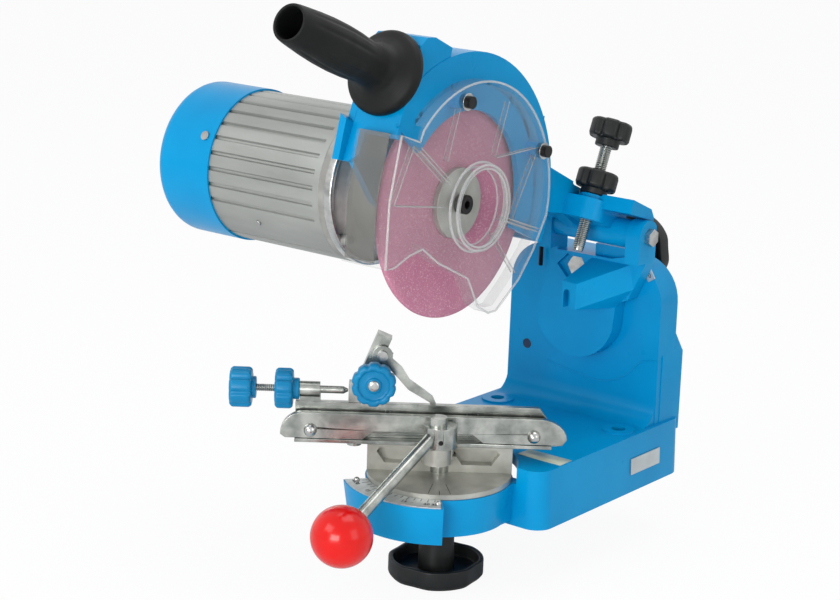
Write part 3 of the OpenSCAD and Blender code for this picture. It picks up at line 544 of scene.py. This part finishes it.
# %% Grip
FLUTES_FROM, FLUTES_TO, FLUTE_FADE, FLUTE_COUNT = 22, 86, 14, 12


def grip_flutes(angle, r, z):
    if not FLUTES_FROM < z < FLUTES_TO or r < 10:
        return 1
    fade = min(1, (z - FLUTES_FROM) / FLUTE_FADE, (FLUTES_TO - z) / FLUTE_FADE)
    return 1 - 0.035 * fade * (0.5 - 0.5 * math.cos(FLUTE_COUNT * angle)) ** 3


GRIP_PROFILE = soften([(4, -3.9), (26, -3.9), (26, 0.5), (24.5, 2.6), (20, 5), (15.5, 8.5), (13.2, 13),
                       (13.0, 19), (13.6, 27), (14.4, 36), (14.8, 48), (14.6, 58), (13.8, 70),
                       (12.6, 82), (11.8, 89), (11.2, 92), (9.8, 92), (9.2, 90), (9.2, 40), (4, 40)], 1.6)
grip = piece("handle_grip", *lathe(GRIP_PROFILE, 144, grip_flutes), HANDLE, "arm", GRIP, "black_plastic",
             50)
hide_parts("side_handle")

# %% [markdown]
# ## Cheek of the housing
# The grip's flange sits on a flat cheek of the wheel housing, which runs down
# beside the clear guard as a narrow tongue. It is one flat plate, so an outline
# with a thickness is all that it needs.

# %% Cheek under the grip's flange
CHEEK_LOW, CHEEK_HIGH = -7.5, -4.05
cheek = [(-18.6, -55), (-11, -55), (-4.5, -50), (-4.5, -37), (18.9, -37), (18.9, -13), (-14, -13)]
piece("housing_cheek", *slab(cheek, CHEEK_LOW, CHEEK_HIGH), HANDLE, "arm", ENAMEL, "casting")

# %% [markdown]
# ## Grinding wheel
# A thin wheel of pink grit in a hard bond. Its rim is dressed round, and its
# faces are not quite true. A plain disc would look like plastic, so a low noise
# moves the lathe's points a little, and the finish adds the grain and its specks.

# %% Wheel
WHEEL_R, WHEEL_HALF, WHEEL_BORE = 72.5, 2.25, 11.15
FACE_FROM, FACE_STEP, FACE_RINGS = 22, 7.5, 6
SHAKE = 0.05


def wheel_mesh():
    r, half = WHEEL_R, WHEEL_HALF
    profile = [(WHEEL_BORE, -half)]
    profile += [(FACE_FROM + FACE_STEP * i, -half) for i in range(1, FACE_RINGS + 1)]
    profile += [(r - 1.2, -half), (r - 0.4, -half + 0.6), (r, -0.7), (r, 0.7), (r - 0.4, half - 0.6),
                (r - 1.2, half)]
    profile += [(FACE_FROM + FACE_STEP * i, half) for i in range(FACE_RINGS, 0, -1)]
    verts, faces = lathe(profile + [(WHEEL_BORE, half)], 160)
    rough = []
    for x, y, z in verts:
        flat = math.hypot(x, y) < FACE_FROM + 2
        shake = 0 if flat else SHAKE * abs(noise.noise(Vector((x, y, z)) * 0.5))
        rough.append((x * (1 - shake / 40), y * (1 - shake / 40), z * (1 - shake)))
    return rough, faces


wheel = piece("abrasive_wheel", *wheel_mesh(), WHEEL @ ALONG_X, "rotor", GRIT, "wheel", 60)
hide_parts("grinding_wheel")

# %% [markdown]
# ## Ribs of the clear guard
# Thin ribs inside the moulding join its hub ring to its rim. Clear plastic shows
# its shape by its bright edges, more than by its faces. So each rib is a thin
# clear plate, and a fine milky tube, a painted highlight that is paler and more
# opaque than the plate, runs along each of its edges.

# %% Guard ribs
RIB_FRONT, THIN_BACK, THICK_BACK = 17.0, 13.4, 11


def rib(p, q, width, back):
    """A plate from p to q, both (y, z) from the wheel's axis, that goes from back to the front."""
    low, high = Vector(p), Vector(q)
    along = (high - low).normalized()
    side = Vector((-along.y, along.x)) * width / 2
    corners = [low + side, low - side, high - side, high + side]
    verts = [(x, c.x, c.y) for x in (back, RIB_FRONT) for c in corners]
    return verts, [(0, 1, 2, 3), (4, 5, 6, 7), (0, 1, 5, 4), (1, 2, 6, 5), (2, 3, 7, 6), (3, 0, 4, 7)]


THIN_RIBS = [((-16.5, 62.4), (-27, 31)), ((33.3, 60.6), (20.9, 27.9)), ((23, 27), (66, 28)),
             ((-76, 11), (-30, 3.5)), ((21, -20), (47, -50)), ((65.4, 25.9), (40, -16)),
             ((-60, 44), (-77, 12))]
THICK_RIBS = [((-54, 42), (-24, 18)), ((33, -13), (70, -26))]
ribs = [rib(p, q, 0.9, THIN_BACK) for p, q in THIN_RIBS]
ribs += [rib(p, q, 2.2, THICK_BACK) for p, q in THICK_RIBS]
piece("guard_ribs", *joined(ribs), WHEEL, "arm", CLEAR, "clear")

# %% Painted highlights along the edges of the ribs
edges = [tube([(x, *p), (x, *q)], 0.32, 6) for p, q in THIN_RIBS for x in (13.4, 16.9)]
edges += [tube([(x, py + d, pz + d), (x, qy + d, qz + d)], 0.4, 6)
          for (py, pz), (qy, qz) in THICK_RIBS for x in (11.2, 16.9) for d in (-0.8, 0.8)]
piece("guard_rib_painted_highlights", *joined(edges), WHEEL, "arm", CLEAR_PAINTED_HIGHLIGHT, "clear")

# %% [markdown]
# ## Rims of the clear guard
# The guard's outline and the steps of its hub catch the light as thick bright
# lines. Tubes of painted highlight that follow them are simple, and they show
# from every side.

# %% Rims as tubes of painted highlight
RIM_X = 19.6
ARC_R, ARC_FROM, ARC_TO, ARC_STEP = 76.5, 136, -16, -4


def circle(r, x, degrees):
    """Points about the wheel's axis."""
    return [(x, r * math.cos(math.radians(a)), r * math.sin(math.radians(a))) for a in degrees]


def ring(r, thick, x):
    return tube(circle(r, x, range(0, 361, 5)), thick, 8)


GUARD_LINE = [(62, -37), (47, -54), (24, -70), (16, -70), (5, -64), (-6.4, -44), (-37, -29), (-52.5, -18),
              (-65, -20), (-78.5, -25), (-87, -25), (-85, 15), (-75.5, 53), (-58, 47)]
outline = circle(ARC_R, RIM_X, range(ARC_FROM, ARC_TO, ARC_STEP))
outline += [(RIM_X, y, z) for y, z in GUARD_LINE] + outline[:1]
rims = [tube(outline, 0.7, 8), ring(26.4, 0.8, 24.8), ring(24.2, 0.7, 24.6), ring(27.6, 0.9, 20.2),
        ring(24.2, 0.6, 17.2)]
piece("guard_rim_painted_highlights", *joined(rims), WHEEL, "arm", CLEAR_PAINTED_HIGHLIGHT, "clear")

# %% [markdown]
# ## Dusty wall and screws of the guard
# The wall next to the motor is dulled by grit, so it hides most of what is behind
# it. It is a thin curved sheet with a duller finish than the rest of the guard.
# Bright washers sit under the two screws that hold the guard.

# %% Dusty side wall
WALL_THICK, WALL_BACK, WALL_FRONT = 0.3, -13.6, 9
WALL_LINE = [(-84.6, -23), (-84.2, -5), (-82.9, 15), (-78.2, 34), (-73.4, 52.6)]
sheet = WALL_LINE + [(y + WALL_THICK, z) for y, z in reversed(WALL_LINE)]
piece("guard_dusty_wall", *along_x(slab(sheet, WALL_BACK, WALL_FRONT)), WHEEL, "arm", DUSTY, "clear")

# %% Washers under the guard's screws
washer = lathe(soften([(2.2, 19.9), (5.4, 19.9), (5.4, 20.7), (2.2, 20.7)], 0.2), 48)
washers = [along_x(washer, y, z) for y, z in ((-13.8, 66), (68, 26))]
piece("guard_washers", *joined(washers), WHEEL, "arm", BRIGHT, "steel")

# %% [markdown]
# ## Scales
# The sector plate carries a mark every five degrees and a few plain numbers, and
# the turntable has a pointer line. They are printed. A picture of the scale would
# blur in a close view, so they are thin raised ink, which stays crisp.

# %% Ticks of the turntable's scale
INK_RISE = 0.08


def tick(angle, r0, r1, width, z):
    """A mark from radius r0 to r1, at an angle from the front of the table."""
    a = math.radians(angle - 90)
    out, side = Vector((math.cos(a), math.sin(a))), Vector((-math.sin(a), math.cos(a))) * width / 2
    corners = [out * r0 + side, out * r0 - side, out * r1 - side, out * r1 + side]
    return slab([tuple(c) for c in corners], z, z + INK_RISE)


SCALE_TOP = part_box("scale_plate")[1].z * 1000
TICK_IN, TICK_SHORT, TICK_LONG = 47.2, 50.6, 52.0
ticks = [tick(a, TICK_IN, TICK_SHORT if a % 15 else TICK_LONG, 0.45, SCALE_TOP)
         for a in range(-35, 36, 5)]
piece("scale_ticks", *joined(ticks), TABLE, "base", INK, "black_plastic")


# %% Numbers of the turntable's scale
def number(text, size, place, name, body):
    """Plain raised figures, size in millimetres; the font's curve is turned into a mesh."""
    curve = bpy.data.curves.new(name, "FONT")
    curve.body = text
    curve.size = size / 1000
    curve.align_x = "CENTER"
    curve.align_y = "CENTER"
    curve.extrude = 0.00004
    curve.offset = 0.00003
    holder = bpy.data.objects.new(name + "_text", curve)
    bpy.context.scene.collection.objects.link(holder)
    bpy.context.view_layer.update()
    mesh = bpy.data.meshes.new_from_object(holder.evaluated_get(bpy.context.evaluated_depsgraph_get()))
    bpy.data.objects.remove(holder)
    mesh.transform(place)
    mesh.materials.clear()
    mesh.materials.append(INK)
    made = bpy.data.objects.new(name, mesh)
    bpy.context.scene.collection.objects.link(made)
    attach(made, body)


NUMBERS_R, NUMBER_SIZE, NUMBER_LIFT = 55.4, 4.0, 0.06
for angle in (-35, -30, -15, 0, 15, 30, 35):
    a = math.radians(angle - 90)
    spot = at(NUMBERS_R * math.cos(a), NUMBERS_R * math.sin(a), SCALE_TOP + NUMBER_LIFT)
    number(str(abs(angle)), NUMBER_SIZE, TABLE @ spot @ turn(angle, "Z"), f"scale_number_{angle + 100}",
           "base")
print("numbers on the scale: 7")

# %% Marks of the tilting head and the turntable
tilt_face = at(49.5, 26.5, 141.5) @ turn(-33, "Y") @ turn(90, "X")
number("0", 4.5, tilt_face @ at(0.2, -1.6, -0.02), "tilt_number", "base")
mark = slab([(-0.3, 0.8), (0.3, 0.8), (0.3, 4.4), (-0.3, 4.4)], -0.05, 0.03)
piece("tilt_tick", *mark, tilt_face, "base", INK, "black_plastic")
TABLE_TOP = 31.2
pointer = [tick(angle, r0, r1, width, TABLE_TOP)
           for angle, r0, r1, width in ((0, 38.5, 45.6, 0.5), (-9, 26, 44, 0.3), (9, 26, 44, 0.3))]
piece("pointer_marks", *joined(pointer), VISE, "turntable", INK, "black_plastic")

# %% [markdown]
# ## Marks of the casting
# The column's face has a core print, seen as a raised line that steps up to the
# right, and a small cored hole at the left. Such low marks could be a bump in the
# finish, but then they would be missing from the mesh. A thin tube and a dark
# dish, both sunk in the surface, give them; the dish's dark colour is painted
# shade for the inside of the hole.

# %% Raised line
def spline(points, steps=6):
    """A smooth line through points."""
    made = []
    ext = [points[0]] + points + [points[-1]]
    for i in range(1, len(ext) - 2):
        p0, p1, p2, p3 = (Vector(p) for p in ext[i - 1:i + 3])
        for k in range(steps):
            t = k / steps
            made.append(0.5 * ((2 * p1) + (p2 - p0) * t + (2 * p0 - 5 * p1 + 4 * p2 - p3) * t * t
                               + (3 * p1 - p0 - 3 * p2 + p3) * t ** 3))
    return made + [Vector(points[-1])]


COLUMN_FACE = 26.5
CORE_LINE = [(-28, 66), (-4.6, 62.5), (13, 60.6), (24.3, 62.3), (33.8, 66.5), (39.9, 71.3), (44.3, 76.4),
             (49, 80.6), (55, 82.4), (60, 82.9)]
core_print = spline([(x, COLUMN_FACE, z) for x, z in CORE_LINE])
piece("core_print_line", *tube(core_print, 0.55, 8), Matrix.Identity(4), "base", ENAMEL, "casting")

# %% Cored hole
# The shallow dish is coloured with painted shade, as dark as the inside of a deep hole.
dish = soften([(0.01, 0.05), (2.4, 0.05), (2.8, 0.3), (3.2, 0.3), (3.6, 0.02), (0.01, -0.3)], 0.2)
piece("column_hole", *lathe(dish, 40), at(-45.8, COLUMN_FACE, 74.4) @ turn(90, "X"), "base", SHADOW,
      "casting")

# %% [markdown]
# ## Screw in the stop knob
# A bright domed screw head holds the stop knob on its spindle. It is round, so
# the lathe turns it.

# %% Stop knob's screw
dome = soften([(0.01, 12.2), (2.0, 12.2), (3.6, 11.4), (3.6, 10.2), (0.01, 10.2)], 0.6)
piece("stop_knob_screw", *lathe(dome, 48), STOP_KNOB, "stop_knob", BRIGHT, "steel")

# %% [markdown]
# ## Ribbed housing of the motor
# The motor's barrel is an aluminium extrusion with thirty shallow grooves that
# cool it, and a flat band with one small screw. The grooves could be cut one by
# one. A wave on a fine lathe makes them all in one mesh, and leaves out the two
# that the flat band takes the place of.

# %% Ribbed housing
HOUSING_R, BARREL_FRONT, GROOVES, FIRST_GROOVE = 49, -71, 30, -71.2
GROOVE_STEP = 360 / GROOVES
FLAT_BAND = (1, 2)


def motor_grooves(angle, r, z):
    if r < HOUSING_R - 0.1 or z > BARREL_FRONT - 0.05:
        return 1
    count = (math.degrees(angle) - FIRST_GROOVE) / GROOVE_STEP
    if round(count) % GROOVES in FLAT_BAND:
        return 1
    off = abs(count - round(count)) * GROOVE_STEP
    return 1 - 0.036 * min(1, max(0, (1.6 - off) / 0.5))


HOUSING = [(44, -66), (48.6, -66), (HOUSING_R, -66.4), (HOUSING_R, BARREL_FRONT),
           (HOUSING_R, BARREL_FRONT - 0.1), (HOUSING_R, -168.6), (48.6, -169), (16, -169), (16, -161),
           (44, -161)]
ribbed = piece("ribbed_housing", *lathe(HOUSING, 720, motor_grooves), WHEEL @ ALONG_X, "arm", RIBBED,
               "motor_alu", 25)
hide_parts("motor_housing")

# %% Screw in the flat band
flat_screw = soften([(0.01, 50.1), (1.6, 50.1), (1.9, 49.6), (1.9, 48.9), (0.01, 48.9)], 0.3)
piece("housing_screw", *lathe(flat_screw, 32), WHEEL @ at(-122, 0, 0) @ turn(123, "X"), "arm", BRIGHT,
      "steel")

# %% [markdown]
# ## Ring, lugs and screws of the motor's bell
# The bell in front of the motor has a bright machined ring and four cast lugs,
# each with a dark screw in it. One lug and one screw are made along the axis and
# then turned to the four places.

# %% Bright ring
ring_profile = soften([(46.5, -61.4), (49.2, -61.4), (49.3, -56.4), (48.6, -55.6), (46.5, -55.6)], 0.4)
piece("bell_ring", *lathe(ring_profile, 128), WHEEL @ ALONG_X, "arm", BRIGHT, "motor_alu")

# %% Lugs and their screws
LUG_ANGLES = (38, 128, 218, 308)
LUG_CIRCLE = 44.2


def four(mesh):
    """The mesh at each of the four places round the axis."""
    verts, faces = mesh
    return joined([([turn(a, "X") @ Vector(v) for v in verts], faces) for a in LUG_ANGLES])


lug = tube([(-65.5, 0, 45.2), (-64, 0, 45.2), (-56, 0, 45.2), (-51.5, 0, LUG_CIRCLE)], 3.4, 16)
piece("bell_lugs", *four(lug), WHEEL, "arm", BELL, "motor_alu")
socket_head = soften([(0.01, -51.5), (2.5, -51.5), (2.5, -49.4), (1.2, -49.4), (1.2, -50.6),
                      (0.01, -50.6)], 0.2)
lug_screw = along_x(lathe(socket_head, 24), 0, LUG_CIRCLE)
piece("lug_screws", *four(lug_screw), WHEEL, "arm", OXIDE, "black_steel")

# %% [markdown]
# ## Floor, light and camera
# A small product studio: a pale floor, a soft world and four large area lamps.
# A curved white paper could stand behind the machine. Here, rays that come from
# the camera or from a mirror see pure white instead, so the soft light and the
# white backdrop can be set apart.

# %% Floor
FLOOR_REACH, FLOOR_GAP, WHITE_SHARE = 6, 0.001, 0.93
floor_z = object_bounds()[0].z - FLOOR_GAP
plane = bpy.data.meshes.new("studio_floor")
plane.from_pydata([(x * FLOOR_REACH, y * FLOOR_REACH, 0) for x, y in ((-1, -1), (1, -1), (1, 1), (-1, 1))],
                  [], [(0, 1, 2, 3)])
floor = bpy.data.objects.new("studio_floor", plane)
floor.location = (0, 0, floor_z)
bpy.context.scene.collection.objects.link(floor)
pale = bpy.data.materials.new("pale_floor")
pale.use_nodes = True
tree = pale.node_tree
cover = tree.nodes["Principled BSDF"]
cover.inputs["Base Color"].default_value = (0.86, 0.86, 0.86, 1)
cover.inputs["Roughness"].default_value = 0.9
white = tree.nodes.new("ShaderNodeEmission")
white.inputs["Color"].default_value = (1, 1, 1, 1)
blend = tree.nodes.new("ShaderNodeMixShader")
path_info = tree.nodes.new("ShaderNodeLightPath")
share = tree.nodes.new("ShaderNodeMath")
share.operation = "MULTIPLY"
share.inputs[1].default_value = WHITE_SHARE
tree.links.new(path_info.outputs["Is Camera Ray"], share.inputs[0])
tree.links.new(share.outputs[0], blend.inputs["Fac"])
tree.links.new(cover.outputs[0], blend.inputs[1])
tree.links.new(white.outputs[0], blend.inputs[2])
tree.links.new(blend.outputs[0], tree.nodes["Material Output"].inputs["Surface"])
plane.materials.append(pale)
print("floor at", round(floor_z, 4))

# %% World
SOFT_STRENGTH = 0.55
world = bpy.data.worlds.new("studio")
bpy.context.scene.world = world
world.use_nodes = True
tree = world.node_tree
soft = tree.nodes["Background"]
soft.inputs["Color"].default_value = (0.94, 0.97, 1.0, 1)
soft.inputs["Strength"].default_value = SOFT_STRENGTH
seen = tree.nodes.new("ShaderNodeBackground")
seen.inputs["Color"].default_value = (1, 1, 1, 1)
seen.inputs["Strength"].default_value = 1.0
blend = tree.nodes.new("ShaderNodeMixShader")
path_info = tree.nodes.new("ShaderNodeLightPath")
mirrored = tree.nodes.new("ShaderNodeMath")
mirrored.operation = "MAXIMUM"
tree.links.new(path_info.outputs["Is Camera Ray"], mirrored.inputs[0])
tree.links.new(path_info.outputs["Is Glossy Ray"], mirrored.inputs[1])
tree.links.new(mirrored.outputs[0], blend.inputs["Fac"])
tree.links.new(soft.outputs[0], blend.inputs[1])
tree.links.new(seen.outputs[0], blend.inputs[2])
tree.links.new(blend.outputs[0], tree.nodes["World Output"].inputs["Surface"])

# %% Lamps
def area_lamp(name, where, target, size, power):
    lamp = bpy.data.lights.new(name, "AREA")
    lamp.shape = "RECTANGLE"
    lamp.size, lamp.size_y = size
    lamp.energy = power
    made = bpy.data.objects.new(name, lamp)
    made.location = where
    made.rotation_mode = "QUATERNION"
    made.rotation_quaternion = (Vector(target) - Vector(where)).to_track_quat("-Z", "Y")
    bpy.context.scene.collection.objects.link(made)


area_lamp("key_lamp", (-0.5, -1.5, 1.1), (0, -0.08, 0.12), (0.9, 0.7), 6)
area_lamp("top_lamp", (0.1, 0.2, 1.6), (0, -0.08, 0.1), (1.2, 1.0), 8)
area_lamp("front_lamp", (0.35, -1.6, 0.35), (0, -0.05, 0.12), (0.8, 0.5), 12)
area_lamp("side_lamp", (1.5, -0.2, 0.6), (0, -0.05, 0.12), (0.7, 0.9), 3)
print("lamps:", len(bpy.data.lights))

# %% Camera
AZIMUTH, ELEVATION, ROLL = (math.radians(v) for v in (37.88, 14.62, 1.91))
EYE = (0.7711, -1.1469, 0.4754)
LENS = 90.98
back = Vector((math.sin(AZIMUTH) * math.cos(ELEVATION), -math.cos(AZIMUTH) * math.cos(ELEVATION),
               math.sin(ELEVATION)))
level = Vector((math.cos(AZIMUTH), math.sin(AZIMUTH), 0))
above = back.cross(level)
right = level * math.cos(ROLL) + above * math.sin(ROLL)
up = above * math.cos(ROLL) - level * math.sin(ROLL)
camera_data = bpy.data.cameras.new("camera")
camera_data.sensor_width = 36
camera_data.lens = LENS
camera = bpy.data.objects.new("camera", camera_data)
camera.matrix_world = Matrix((
    (right.x, up.x, back.x, EYE[0]),
    (right.y, up.y, back.y, EYE[1]),
    (right.z, up.z, back.z, EYE[2]),
    (0, 0, 0, 1)))
bpy.context.scene.collection.objects.link(camera)
bpy.context.scene.camera = camera
bpy.context.scene.view_settings.view_transform = "Standard"
